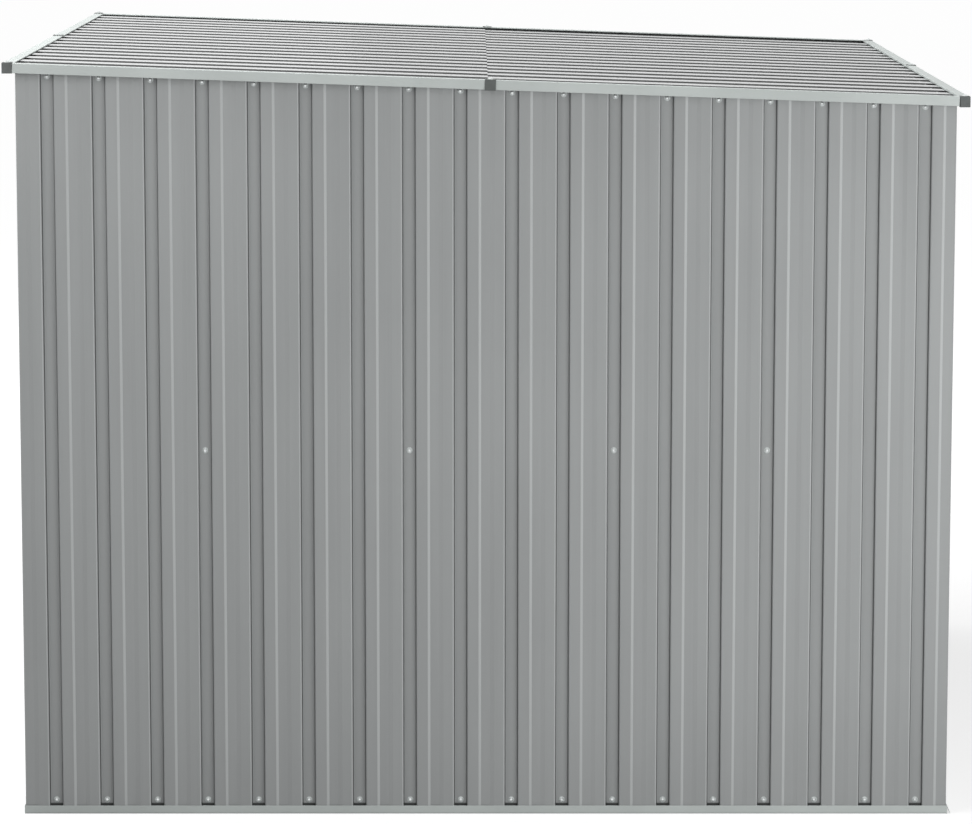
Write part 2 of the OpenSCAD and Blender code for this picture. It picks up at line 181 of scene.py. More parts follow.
class ShedSheets(bpy.types.PropertyGroup):
    """Sizes of the ribbed sheets."""

    pitch: length("Rib pitch", "Distance between neighbouring grooves", 0.121)
    mouth: length("Groove mouth", "Width of a wall groove at its mouth", 0.033)
    floor: length("Groove floor", "Width of a wall groove at its floor", 0.028)
    depth: length("Groove depth", "Depth of a wall groove", 0.009)
    swage: length("Swage depth", "Depth of the recess along each crest", 0.0018)
    swage_run: length("Swage slope", "Width of the first slope of that recess", 0.006)
    swage_back: length("Swage back slope", "Width of the other slope of that recess", 0.010)
    first_valley: length("First valley", "Near end of the roof sheets to the first valley", 0.096)
    last_valley: length("Last valley", "Last valley to the far end of the roof sheets", 0.038)
    valley_mouth: length("Valley mouth", "Width of a roof valley at its mouth", 0.063)
    valley_floor: length("Valley floor", "Width of a roof valley at its floor", 0.058)
    valley_depth: length("Valley depth", "Depth of a roof valley", 0.006)
    thick: length("Sheet thickness", "Thickness of the sheets", 0.0008)
    bend: length("Bend radius", "Radius of the bends in the wall sheets", 0.003)
    roof_bend: length("Roof bend radius", "Radius of the bends in the roof sheets", 0.0007)
    bend_steps: IntProperty(name="Bend steps", description="Facets of one bend", default=4, min=1, max=8)


class ShedScrews(bpy.types.PropertyGroup):
    """Sizes of the screws."""

    washer: length("Washer", "Diameter of the washer", 0.0150)
    washer_thick: length("Washer thickness", "Thickness of the washer", 0.0011)
    head: length("Head", "Width of the screw head", 0.0092)
    head_tall: length("Head height", "Height of the screw head", 0.0034)


class ShedColours(bpy.types.PropertyGroup):
    """Colours of the finishes."""

    wall: colour("Wall paint", "Paint of the ribbed wall sheets", (0.318, 0.329, 0.329))
    roof: colour("Roof paint", "Paint of the ribbed roof sheets", (0.33, 0.34, 0.34))
    rail: colour("Rail paint", "Paint of the edge and base rails", (0.495, 0.53, 0.517))
    cap: colour("Cap plastic", "Plastic of the caps and handles", (0.095, 0.103, 0.100))
    zinc: colour("Zinc", "Galvanised frame sections", (0.36, 0.37, 0.375))
    screw: colour("Screw metal", "Bright zinc of the screw heads", (0.80, 0.83, 0.825))
    washer: colour("Washer metal", "Dull zinc of the washers", (0.60, 0.64, 0.63))


class ShedStage(bpy.types.PropertyGroup):
    """Camera and light."""

    place: FloatVectorProperty(
        name="Camera place",
        description="Where the camera stands",
        default=(-0.031, -10.1636, 2.3816),
        size=3,
        subtype="TRANSLATION",
        unit="LENGTH",
    )
    tilt: FloatProperty(
        name="Tilt",
        description="How far the camera looks down",
        default=math.radians(7.398),
        subtype="ANGLE",
    )
    lens: FloatProperty(name="Lens", description="Focal length in millimetres", default=143.62, min=20.0)
    shift_x: FloatProperty(name="Shift X", description="Sideways shift of the lens", default=0.0134)
    shift_y: FloatProperty(name="Shift Y", description="Upright shift of the lens", default=-0.10)
    sky: FloatProperty(name="Sky", description="Level of the surrounding light", default=0.25, min=0.0)
    key: FloatProperty(name="Key", description="Power of the main lamp in watts", default=70.0, min=0.0)
    top: FloatProperty(name="Top", description="Power of the roof's lamp in watts", default=330.0, min=0.0)


# Node trees, and arithmetic on their sockets
class Net:
    """A node tree that grows node by node."""

    def __init__(self, tree):
        self.tree = tree

    def node(self, kind, settings=None, inputs=None):
        """A new node: first its settings, then the values or links of its sockets."""
        made = self.tree.nodes.new(kind)
        for key, value in (settings or {}).items():
            setattr(made, key, value)
        for key, value in (inputs or {}).items():
            self.feed(made.inputs[key], value)
        return made

    def feed(self, socket, value):
        """Links a socket or sets its value. A node given as the value stands for its first output."""
        if isinstance(value, Val):
            value = value.socket
        if isinstance(value, bpy.types.Node):
            value = value.outputs[0]
        if isinstance(value, bpy.types.NodeSocket):
            self.tree.links.new(value, socket)
            return
        if isinstance(value, tuple) and len(value) < len(socket.default_value):
            value = (*value, 1.0)
        socket.default_value = value

    def val(self, kind, output=0, settings=None, inputs=None):
        """A number that comes out of a new node."""
        return Val(self, self.node(kind, settings, inputs).outputs[output])


class Val:
    """One number socket, with arithmetic that adds Math nodes."""

    def __init__(self, net, socket):
        self.net = net
        self.socket = socket

    def math(self, operation, first, second, clamp=False):
        settings = {"operation": operation, "use_clamp": clamp}
        return self.net.val("ShaderNodeMath", 0, settings, {0: first, 1: second})

    def __add__(self, other):
        return self.math("ADD", self, other)

    def __radd__(self, other):
        return self.math("ADD", other, self)

    def __sub__(self, other):
        return self.math("SUBTRACT", self, other)

    def __rsub__(self, other):
        return self.math("SUBTRACT", other, self)

    def __mul__(self, other):
        return self.math("MULTIPLY", self, other)

    def __rmul__(self, other):
        return self.math("MULTIPLY", other, self)

    def __truediv__(self, other):
        return self.math("DIVIDE", self, other)

    def __rtruediv__(self, other):
        return self.math("DIVIDE", other, self)

    def clamped(self):
        """The same number, kept between 0 and 1."""
        return self.math("ADD", self, 0.0, clamp=True)

    def step(self, low, high):
        """Smooth rise from 0 at low to 1 at high."""
        return self.net.val(
            "ShaderNodeMapRange",
            0,
            {"interpolation_type": "SMOOTHSTEP"},
            {"Value": self, "From Min": low, "From Max": high},
        )


def empty_net(owner):
    """The node tree of a material or world, with nothing in it yet."""
    owner.use_nodes = True
    owner.node_tree.nodes.clear()
    return Net(owner.node_tree)


def own_place(net):
    """Place on a piece in its own coordinates."""
    return net.node("ShaderNodeTexCoord").outputs["Object"]


def marked(net, name):
    """Number that a mesh holds under that name."""
    return net.val("ShaderNodeAttribute", "Fac", {"attribute_name": name})


def seen_directly(net):
    """1 where the camera sees a thing, also mirrored or through glass, and 0 where it only gives light."""
    path = net.node("ShaderNodeLightPath").outputs
    seen = Val(net, path["Is Camera Ray"]) + Val(net, path["Is Glossy Ray"])
    return (seen + Val(net, path["Is Transmission Ray"])).clamped()


# Sockets of a Mix node for colours, which has a set of them for each kind of value
MIX_FACTOR, MIX_FIRST, MIX_SECOND, MIX_RESULT = 0, 6, 7, 2


def tint(net, factor, first, second):
    """Colour between two others."""
    inputs = {MIX_FACTOR: factor, MIX_FIRST: first, MIX_SECOND: second}
    return net.node("ShaderNodeMix", {"data_type": "RGBA"}, inputs).outputs[MIX_RESULT]


def scaled(rgb, share):
    """A lighter or darker colour."""
    return tuple(min(1.0, part * share) for part in rgb)


def shades(net, factor, rgb, first, second):
    """Shade of one colour, from its first share to its second."""
    return tint(net, factor, scaled(rgb, first), scaled(rgb, second))


def noise(net, scale, detail=2.0, stretch=(1.0, 1.0, 1.0)):
    """Noise on the piece's own coordinates, stretched along the axes."""
    place = net.node("ShaderNodeMapping", None, {"Vector": own_place(net), "Scale": stretch})
    return net.val("ShaderNodeTexNoise", 0, None, {"Vector": place, "Scale": scale, "Detail": detail})


def relief(net, strength, depth, height, under=None):
    """Fine relief for a finish, on top of another one if there is one under it."""
    inputs = {"Strength": strength, "Distance": depth, "Height": height}
    if under is not None:
        inputs["Normal"] = under
    return net.node("ShaderNodeBump", None, inputs)


def new_material(name):
    """A material with a plain Principled shader, its tree and that shader's inputs."""
    material = bpy.data.materials.new(name)
    net = empty_net(material)
    shader = net.node("ShaderNodeBsdfPrincipled")
    net.node("ShaderNodeOutputMaterial", None, {"Surface": shader})
    return material, net, shader.inputs


# Finishes: shares of a paint's own colour in its patches, painted highlights, painted shade and low
# darkening, painted shade at valley ends, and backing paint darkened to painted shade
PATCHES = (0.955, 1.045)
HIGHLIGHT_SHARE, SHADE_SHARE, END_SHADE_SHARE, BACKING_SHADE = 1.45, 0.12, 0.03, 0.06
# Strength of the painted highlight on folds, painted shade on groove floors, darkening low on the walls,
# and painted shade at the base lip
HIGHLIGHT_STRENGTH, GROOVE_FLOOR_SHADE, LOW_DARKENING, LIP_SHADE = 0.80, 0.06, 0.02, 0.85
# Sideways lean of the facets that get a painted highlight, as if lit from that side
HIGHLIGHT_LEAN = (0.12, 0.8)
# Heights where the darkening low on the walls ends, and where the painted shade in the grooves at the base
# lip begins to fade and ends
LOW_DARKENING_TOP = 350.0 * MM
LIP_SHADE_TOP = (23.0 * MM, 25.0 * MM)
# Distances before the roof rails where the painted shade at a valley's end begins and is full, at the low
# and high ends of a valley
END_SHADE_LOW = (22.0 * MM, 14.0 * MM)
END_SHADE_HIGH = (16.0 * MM, 9.0 * MM)
# Roughness of the painted shade at valley ends, and how unevenly rough the paint of a sheet is
END_SHADE_ROUGH, UNEVEN = 0.95, 0.08


def sheet_paint(name, rgb, streak, flank_shade, rise, matt, rail=None):
    """Coil-coated sheet: faint mottling, run-off streaks, painted highlights, painted shade in the
    grooves, orange peel.

    The painted shade on the flanks begins and is full at the two depths in rise, as shares of a groove's
    depth. Matt is the paint's roughness. With rail, painted shade darkens the ends of the valleys along
    the rails at that distance from the middle.
    """
    material, net, shader = new_material(name)
    mottle = noise(net, 1.7, 3.0)
    run_off = noise(net, 3.0, 3.0, streak)
    recess = marked(net, "recess")
    spot = net.node("ShaderNodeSeparateXYZ", None, {0: own_place(net)}).outputs
    height = Val(net, spot["Z"])
    toward_bottom = 1.0 - height.step(0.0, LOW_DARKENING_TOP)
    tone = 0.5 * mottle + 0.5 * run_off
    shown = shades(net, tone.step(0.32, 0.68), rgb, *PATCHES)
    # Painted highlight on the facets that fold marks as leaning towards the lit side
    shown = tint(net, marked(net, "crease") * HIGHLIGHT_STRENGTH, shown, scaled(rgb, HIGHLIGHT_SHARE))
    # Painted shade on groove flanks and floors and in the grooves at the base lip; the walls also get
    # darker towards the bottom
    flank = recess.step(*rise) * (1.0 - recess.step(0.85, 0.97))
    floor = recess.step(0.9, 1.0)
    lip = recess.step(0.6, 0.8) * (1.0 - height.step(*LIP_SHADE_TOP))
    shade_and_darkening = flank * flank_shade + floor * GROOVE_FLOOR_SHADE + toward_bottom * LOW_DARKENING + lip * LIP_SHADE
    shown = tint(net, shade_and_darkening.clamped(), shown, scaled(rgb, SHADE_SHARE))
    rough = matt - UNEVEN + UNEVEN * mottle + UNEVEN * run_off
    # Painted shade at the ends of the valleys along the rails, made rough so that it shows no reflection
    if rail:
        across = Val(net, spot["X"])
        low_end = [rail - before for before in END_SHADE_LOW]
        high_end = [rail - before for before in END_SHADE_HIGH]
        end_shade = recess.step(0.1, 0.4) * across.step(*low_end) + flank * (0.0 - across).step(*high_end)
        end_shade = end_shade.clamped()
        shown = tint(net, end_shade, shown, scaled(rgb, END_SHADE_SHARE))
        rough = rough * (1.0 - end_shade) + END_SHADE_ROUGH * end_shade
    net.feed(shader["Base Color"], shown)
    net.feed(shader["Roughness"], rough)
    peel = relief(net, 0.05, 0.0006, noise(net, 420.0))
    waves = relief(net, 0.10, 0.004, noise(net, 2.2, 1.0, (2.2, 2.2, 0.6)), peel)
    net.feed(shader["Normal"], waves)
    return material


def wall_paint(rgb):
    """Paint of the wall sheets, with streaks that run down."""
    down = (9.0, 9.0, 0.35)
    return sheet_paint("wall_sheet_paint", rgb, streak=down, flank_shade=0.86, rise=(0.3, 0.45), matt=0.36)


def roof_paint(rgb):
    """Paint of the roof sheets, with streaks along the slope and painted shade in the ends of the valleys.
    """
    slope = (0.35, 9.0, 9.0)
    rail = RAIL_OUT - RAIL_WIDE
    return sheet_paint(
        "roof_sheet_paint", rgb, streak=slope, flank_shade=0.85, rise=(0.0, 0.06), matt=0.2, rail=rail
    )


def rail_paint(rgb):
    """Light satin paint on folded rails: scuffs along the length, and backing paint darkened to painted
    shade where marked inside the channel.
    """
    material, net, shader = new_material("rail_paint")
    cloud = noise(net, 5.0, 3.0)
    scuff = noise(net, 60.0, 2.0, (0.4, 0.4, 3.0))
    clean = shades(net, cloud.step(0.3, 0.7), rgb, *PATCHES)
    worn = tint(net, scuff.step(0.62, 0.80) * 0.35, clean, scaled(rgb, 0.80))
    # Painted shade: marked faces inside the channel get a near-black backing paint
    net.feed(shader["Base Color"], tint(net, marked(net, "back"), worn, scaled(rgb, BACKING_SHADE)))
    net.feed(shader["Roughness"], 0.42 + 0.16 * scuff)
    net.feed(shader["Specular IOR Level"], 0.25)
    net.feed(shader["Normal"], relief(net, 0.05, 0.0005, noise(net, 500.0)))
    return material


def moulded_plastic(rgb):
    """Dark moulding with a fine spark-eroded grain and paler rubbed patches."""
    material, net, shader = new_material("cap_plastic")
    cloud = noise(net, 40.0)
    grain = noise(net, 1500.0)
    net.feed(shader["Base Color"], shades(net, cloud.step(0.35, 0.7), rgb, 0.92, 1.14))
    net.feed(shader["Roughness"], 0.48 + 0.14 * grain)
    net.feed(shader["Normal"], relief(net, 0.18, 0.0003, grain))
    return material


def galvanised(rgb):
    """Hot-dip zinc: spangle cells of slightly different grey and gloss."""
    material, net, shader = new_material("frame_zinc")
    cell = net.node("ShaderNodeTexVoronoi", None, {"Vector": own_place(net), "Scale": 90.0})
    spangle = net.val("ShaderNodeSeparateColor", 0, None, {0: cell.outputs["Color"]})
    net.feed(shader["Base Color"], shades(net, spangle, rgb, 0.82, 1.12))
    net.feed(shader["Roughness"], 0.34 + 0.18 * spangle)
    net.feed(shader["Metallic"], 0.85)
    return material


def plated(name, rgb, metal, rough):
    """Zinc plating with slightly dulled patches."""
    material, net, shader = new_material(name)
    dull = noise(net, 220.0)
    net.feed(shader["Base Color"], shades(net, dull.step(0.4, 0.7), rgb, 1.0, 0.78))
    net.feed(shader["Roughness"], rough + 0.2 * dull)
    net.feed(shader["Metallic"], metal)
    return material


def bright_zinc(rgb):
    """Plating of the screw heads."""
    return plated("screw_zinc", rgb, metal=0.8, rough=0.24)


def dull_zinc(rgb):
    """Plating of the washers."""
    return plated("washer_zinc", rgb, metal=0.2, rough=0.5)


MAKERS = {
    "wall": wall_paint,
    "roof": roof_paint,
    "rail": rail_paint,
    "cap": moulded_plastic,
    "zinc": galvanised,
    "screw": bright_zinc,
    "washer": dull_zinc,
}
FINISH_OF_SLOT = {
    "wall_paint": "wall",
    "roof_paint": "roof",
    "rail_paint": "rail",
    "cap_plastic": "cap",
    "frame_zinc": "zinc",
}
FINISHES = {}


def finish(key):
    """The finish of that name, made on first use."""
    if key not in FINISHES:
        rgb = tuple(getattr(bpy.context.scene.shed_colours, key))
        FINISHES[key] = MAKERS[key](rgb)
    return FINISHES[key]


# Drafts, and the plain meshes and pieces that come of them
def plain_mesh(draft, shape):
    """Mesh of a draft after shape has given its object a modifier. The draft itself is removed."""
    obj = bpy.data.objects.new("draft", draft)
    bpy.context.scene.collection.objects.link(obj)
    shape(obj)
    bpy.context.view_layer.update()
    done = obj.evaluated_get(bpy.context.evaluated_depsgraph_get())
    made = bpy.data.meshes.new_from_object(done)
    obj.modifiers.clear()
    bpy.data.objects.remove(obj)
    bpy.data.meshes.remove(draft)
    return made


def run_tree(draft, tree, values):
    """Mesh that a Geometry Nodes tree makes of a draft."""

    def shape(obj):
        modifier = obj.modifiers.new("Shape", "NODES")
        modifier.node_group = tree
        for item in tree.interface.items_tree:
            if item.item_type == "SOCKET" and item.in_out == "INPUT" and item.name in values:
                modifier[item.identifier] = values[item.name]

    return plain_mesh(draft, shape)


def new_tree(name, given, inputs, result):
    """An empty Geometry Nodes tree, with what it is given, its named inputs and what it makes."""
    tree = bpy.data.node_groups.new(name, "GeometryNodeTree")
    tree.interface.new_socket(given, in_out="INPUT", socket_type="NodeSocketGeometry")
    for label, kind in inputs.items():
        tree.interface.new_socket(label, in_out="INPUT", socket_type="NodeSocket" + kind)
    tree.interface.new_socket(result, in_out="OUTPUT", socket_type="NodeSocketGeometry")
    return tree


def mesh_of(shape, key):
    """Mesh of a finished bmesh, in the finish of that name."""
    made = bpy.data.meshes.new("shape")
    shape.to_mesh(made)
    shape.free()
    made.materials.append(finish(key))
    return made


def join_meshes(meshes):
    """One mesh of several, kept as separate shells."""
    shape = bmesh.new()
    for mesh in meshes:
        shape.from_mesh(mesh)
    made = bpy.data.meshes.new("joined")
    shape.to_mesh(made)
    shape.free()
    for material in meshes[0].materials:
        made.materials.append(material)
    for mesh in meshes:
        bpy.data.meshes.remove(mesh)
    return made


def piece(name, meshes, nodes=()):
    """A finished piece on the body, standing for CAD nodes."""
    mesh = meshes[0] if len(meshes) == 1 else join_meshes(meshes)
    obj = bpy.data.objects.new(name, mesh)
    mesh.name = name
    bpy.context.scene.collection.objects.link(obj)
    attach(obj, BODY)
    if nodes:
        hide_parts(*nodes)
    return obj


# Folded metal
FOLDED = "Folded metal"
# Distance at which points become one
WELD = 0.002 * MM


def folded_tree():
    """Geometry Nodes: a closed outline gets rounded bends and is drawn out to a solid length."""
    inputs = {
        "Length": "Float",
        "Bend radius": "Float",
        "Bend steps": "Int",
        "Groove depth": "Float",
        "Finish": "Material",
    }
    tree = new_tree(FOLDED, "Outline", inputs, "Metal")
    net = Net(tree)
    given = net.node("NodeGroupInput").outputs
    loop = net.node("GeometryNodeMeshToCurve", None, {"Mesh": given["Outline"]})
    bends = net.node(
        "GeometryNodeFilletCurve",
        {"mode": "POLY"},
        {
            "Curve": loop,
            "Count": given["Bend steps"],
            "Radius": given["Bend radius"],
            "Limit Radius": True,
        },
    )
    section = net.node("GeometryNodeFillCurve", {"mode": "NGONS"}, {"Curve": bends})
    drawn = net.node(
        "GeometryNodeExtrudeMesh",
        {"mode": "FACES"},
        {
            "Mesh": section,
            "Offset": (0.0, 0.0, 1.0),
            "Offset Scale": given["Length"],
            "Individual": False,
        },
    )
    foot = net.node("GeometryNodeFlipFaces", None, {"Mesh": section})
    both = net.node("GeometryNodeJoinGeometry")
    net.feed(both.inputs[0], drawn)
    net.feed(both.inputs[0], foot)
    closed = net.node("GeometryNodeMergeByDistance", None, {"Geometry": both, "Distance": WELD})
    place = net.node("GeometryNodeInputPosition")
    out = net.val("ShaderNodeSeparateXYZ", "Y", None, {0: place})
    recess = (0.0 - out) / Val(net, given["Groove depth"])
    noted = net.node(
        "GeometryNodeStoreNamedAttribute",
        {"data_type": "FLOAT", "domain": "POINT"},
        {"Geometry": closed, "Name": "recess", "Value": recess.clamped()},
    )
    real = net.node("GeometryNodeRealizeInstances", None, {"Geometry": noted})
    done = net.node("GeometryNodeSetMaterial", None, {"Geometry": real, "Material": given["Finish"]})
    net.node("NodeGroupOutput", None, {0: done})
    return tree


def note_faces(mesh, name, test):
    """Stores on each face under that name whether its centre and normal pass a test."""
    noted = mesh.attributes.new(name, "FLOAT", "FACE")
    for face in mesh.polygons:
        noted.data[face.index].value = float(test(face.center, face.normal))


def fold(outline, run, key, place, bend=None, groove=1.0, trim=None, shade_faces=None):
    """A solid of folded metal: outline in metres, drawn out by run, then put in place.

    Trim gives the height at x that it is cut to, and the last argument picks the faces that get backing
    paint darkened to painted shade."""
    sizes = bpy.context.scene.shed_sheets
    draft = bpy.data.meshes.new("outline")
    count = len(outline)
    draft.from_pydata([(u, v, 0.0) for u, v in outline], [(i, (i + 1) % count) for i in range(count)], [])
    values = {
        "Length": run,
        "Bend radius": sizes.bend if bend is None else bend,
        "Bend steps": sizes.bend_steps,
        "Groove depth": groove,
        "Finish": finish(key),
    }
    made = run_tree(draft, bpy.data.node_groups.get(FOLDED) or folded_tree(), values)
    if key == "wall":
        # Painted highlight: faces no deeper than the swages that lean one way along the sheet, as if lit
        # from that side
        crest = -1.1 * sizes.swage
        least, most = HIGHLIGHT_LEAN
        note_faces(made, "crease", lambda centre, normal: centre.y > crest and least < normal.x < most)
    # Faces inside a channel are marked for backing paint darkened to painted shade
    if shade_faces is not None:
        note_faces(made, "back", shade_faces)
    made.transform(place)
    if trim is not None:
        for vert in made.vertices:
            vert.co.z = min(vert.co.z, trim(vert.co.x))
    shape = bmesh.new()
    shape.from_mesh(made)
    bmesh.ops.recalc_face_normals(shape, faces=shape.faces)
    shape.to_mesh(made)
    shape.free()
    return made


# Ribbed sheets
class Rib:
    """Cross-section of a ribbed sheet: u along the wall or across the roof, v out of it."""

    def __init__(self, sizes, roof=False):
        self.pitch = sizes.pitch
        self.shift = 0.0
        if roof:
            self.pitch = (2 * SHEET_END - sizes.first_valley - sizes.last_valley) / (GROOVES - 1)
            self.shift = (sizes.first_valley - sizes.last_valley) / 2
        self.mouth = (sizes.valley_mouth if roof else sizes.mouth) / 2
        self.floor = (sizes.valley_floor if roof else sizes.floor) / 2
        self.depth = sizes.valley_depth if roof else sizes.depth
        self.swage = 0.0 if roof else sizes.swage
        self.run = sizes.swage_run / 2
        self.back = sizes.swage_back / 2
        self.third = (self.pitch - 2 * self.mouth) / 3
        self.thick = sizes.thick
        flank = self.mouth - self.floor
        slant = math.hypot(flank, self.depth)
        # How much wider a groove is on the inner face, so that the flanks keep the sheet's thickness
        self.skin = self.thick * (slant - flank) / self.depth
        # How much deeper a groove is that goes under the next sheet, and how far one roof half
        # has to lie below the other to nest in it
        self.drop = self.thick + FIT
        self.half_drop = self.thick * slant / flank + FIT

    def centre(self, groove):
        """Place of a groove's middle."""
        return (groove - (GROOVES - 1) / 2) * self.pitch + self.shift

    def line(self, low, high, skin, lift, under=None):
        """One face of the sheet from u = low to u = high."""
        points = [] if self.swage else [(-FAR_OFF, lift)]
        for groove in range(-1, GROOVES + 1) if self.swage else range(GROOVES):
            middle = self.centre(groove)
            sunk = lift - self.depth - (self.drop if groove == under else 0.0)
            points.append((middle - self.mouth - skin, lift))
            points.append((middle - self.floor - skin, sunk))
            points.append((middle + self.floor + skin, sunk))
            points.append((middle + self.mouth + skin, lift))
            if self.swage:
                left = middle + self.mouth + self.third
                right = middle + self.pitch - self.mouth - self.third
                points.append((left - self.run, lift))
                points.append((left + self.run, lift - self.swage))
                points.append((right - self.back, lift - self.swage))
                points.append((right + self.back, lift))
        if not self.swage:
            points.append((FAR_OFF, lift))
        return clip(points, low, high)

    def outline(self, low, high, under=None):
        """Closed section of a sheet from u = low to u = high."""
        outer = self.line(low, high, 0.0, 0.0, under)
        inner = self.line(low, high, self.skin, -self.thick, under)
        return outer + inner[::-1]

    def span(self, seams, i, reach):
        """Ends of sheet i of a run of lapped sheets, and the groove where it goes under the next."""
        first, last = seams[i], seams[i + 1]
        low = -reach if first == 0 else self.centre(first) - self.floor + LAP_PLAY
        if last == GROOVES - 1:
            return low, reach, None
        return low, self.centre(last) + self.floor - LAP_PLAY, last


def clip(points, low, high):
    """Part of a line between two places along u."""
    kept = []
    for (u0, v0), (u1, v1) in zip(points, points[1:]):
        for edge in (low, high):
            if u0 < edge < u1:
                kept.append((edge, v0 + (v1 - v0) * (edge - u0) / (u1 - u0)))
        if low <= u1 <= high:
            kept.append((u1, v1))
    if low <= points[0][0]:
        kept.insert(0, points[0])
    kept.sort()
    return kept


class SHED_OT_plain_nodes(bpy.types.Operator):
    """Finishes on the solids that keep their own shape"""

    bl_idname = "shed.plain_nodes"
    bl_label = "Plain pieces"

    def execute(self, context):
        for part in frame["record"]["subparts"]:
            obj = frame["nodes"][part["node"]]
            obj.data.materials.clear()
            obj.data.materials.append(finish(FINISH_OF_SLOT[part["material_slot"]]))
        return {"FINISHED"}


class SHED_OT_wall_sheets(bpy.types.Operator):
    """Ribbed wall sheets with rounded bends, lapped in their grooves"""

    bl_idname = "shed.wall_sheets"
    bl_label = "Wall sheets"

    def execute(self, context):
        rib = Rib(context.scene.shed_sheets)
        run = wall_top(-HALF) + TRIM_SPARE

        def sheet(side, foot, low, high, under=None):
            place = WALLS[side] @ Matrix.Translation((0, 0, foot))
            outline = rib.outline(low, high, under)
            return fold(outline, run, "wall", place, groove=rib.depth, trim=wall_top)

        def lapped_sheets(side, reach):
            spans = [rib.span(WALL_SEAMS, i, reach) for i in range(len(WALL_SEAMS) - 1)]
            return [sheet(side, WALL_FOOT, *span) for span in spans]

        for i, mesh in enumerate(lapped_sheets("near", HALF)):
            node = f"near_wall_sheet_{i + 1}"
            piece("ribbed_" + node, [mesh], [node])
        piece("ribbed_far_wall", lapped_sheets("far", HALF), ["far_wall_sheets"])
        inside = HALF - rib.swage - rib.thick - FIT
        piece("ribbed_low_wall", lapped_sheets("low", inside), ["low_wall_sheets"])
        for node in ("high_wall_sheet_near", "high_wall_sheet_far", "high_wall_sheet_over_door"):
            low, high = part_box(node)
            piece("ribbed_" + node, [sheet("high", low.z, low.y, high.y)], [node])
        return {"FINISHED"}


class SHED_OT_roof_sheets(bpy.types.Operator):
    """Ribbed roof sheets that run down the slope, the high half lapped over the low half"""

    bl_idname = "shed.roof_sheets"
    bl_label = "Roof sheets"

    def execute(self, context):
        rib = Rib(context.scene.shed_sheets, roof=True)
        bend = context.scene.shed_sheets.roof_bend
        # Half of the length that a tilted sheet's depth adds to its box
        lean = (rib.depth + rib.thick + rib.drop) * math.sin(SLOPE) / 2
        for half, drop in (("high", 0.0), ("low", rib.half_drop)):
            for i, row in enumerate(("near", "mid", "far")):
                node = f"roof_{half}_sheet_{row}"
                start, stop = [(corner.x + lean) / math.cos(SLOPE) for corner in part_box(node)]
                place = ON_ROOF @ Matrix.Translation((start, 0, -HEM - FIT - drop)) @ ALONG_X
                outline = rib.outline(*rib.span(ROOF_SEAMS, i, SHEET_END))
                mesh = fold(outline, stop - start, "roof", place, bend, rib.depth)
                piece("ribbed_" + node, [mesh], [node])
        return {"FINISHED"}


class SHED_OT_roof_rails(bpy.types.Operator):
    """Folded edge rails around the roof, each in two lengths"""

    bl_idname = "shed.roof_rails"
    bl_label = "Roof rails"

    def execute(self, context):
        wide, tall, thick = RAIL_WIDE, RAIL_TALL, RAIL_THICK
        low_half = Rib(context.scene.shed_sheets, roof=True).half_drop
        end = ROOF_HALF - CORNER_CAP - CAP_PLAY
        for side, on in ROOF_SIDES.items():
            hem = HEM + (low_half if side == "low" else 0.0)
            outline = [
                (0, 0), (0, -tall), (-wide, -tall), (-wide, thick - tall), (-thick, thick - tall),
                (-thick, -thick), (thick - wide, -thick), (thick - wide, -hem), (-wide, -hem), (-wide, 0),
            ]
            joint = CAP_JOINT[side]
            made = []
            for start, stop in ((-end, joint - FIT), (joint, end)):
                place = along(ON_ROOF @ on, start)
                made.append(fold(outline, stop - start, "rail", place, RAIL_BEND, shade_faces=self.shaded_inside))
            piece("folded_roof_rail_" + side, made, ["roof_rail_" + side])
        return {"FINISHED"}

    def shaded_inside(self, centre, normal):
        """True inside the channel, where the metal gets backing paint darkened to painted shade."""
        # A little less than the metal's thickness
        skin = 0.9 * RAIL_THICK
        cut_end = abs(normal.z) > 0.5
        return not cut_end and -RAIL_WIDE < centre.x < -skin and skin - RAIL_TALL < centre.y < -skin


class SHED_OT_base_rails(bpy.types.Operator):
    """Folded channels on the ground that the sheets stand in"""

    bl_idname = "shed.base_rails"
    bl_label = "Base rails"

    def execute(self, context):
        thick, lip, face, back = BASE_THICK, LIP_TALL, LIP_GAP + BASE_THICK, BASE_BACK
        rolled = [(face - behind, up) for behind, up in ROLLED_EDGE]
        flat = [(LIP_GAP, 0), (face, 0), (face, lip), (LIP_GAP, lip)]
        drip = [
            (LIP_GAP, lip), (LIP_GAP, 0), (face, 0), (face, lip - 2 * thick),
            (face + FLARE - thick, thick / 2), (face + FLARE, thick), (face, lip),
        ]
        corner = HALF + LIP_GAP - FIT
        inside = HALF - back - thick - FIT
        outside = HALF + face
        for side, joint, reach, tip, front, leg in (
            ("near", BASE_JOINT, corner, outside, flat, 2 * lip),
            ("far", BASE_JOINT, corner, outside, flat, 2 * lip),
            ("high", 0.0, inside, corner, flat, lip),
            ("low", 0.0, inside, corner, drip, 2 * lip),
        ):
            channel = [(-back - thick, 0), *rolled, (face, lip), (LIP_GAP, lip), (LIP_GAP, thick)]
            channel += [(-back, thick), (-back, leg), (-back - thick, leg)]
            # A flat front only closes the corner past the channel, and the drip runs along all of it
            whole = front is drip
            made = []
            for start, stop, front_start, front_stop in (
                (-reach, joint - FIT, -tip, joint - FIT if whole else -reach),
                (joint, reach, joint if whole else reach, tip),
            ):
                made.append(fold(channel, stop - start, "rail", along(WALLS[side], start), RAIL_BEND))
                place = along(WALLS[side], front_start)
                made.append(fold(front, front_stop - front_start, "rail", place, LIP_BEND))
            piece("folded_base_rail_" + side, made, ["base_rail_" + side])
        return {"FINISHED"}


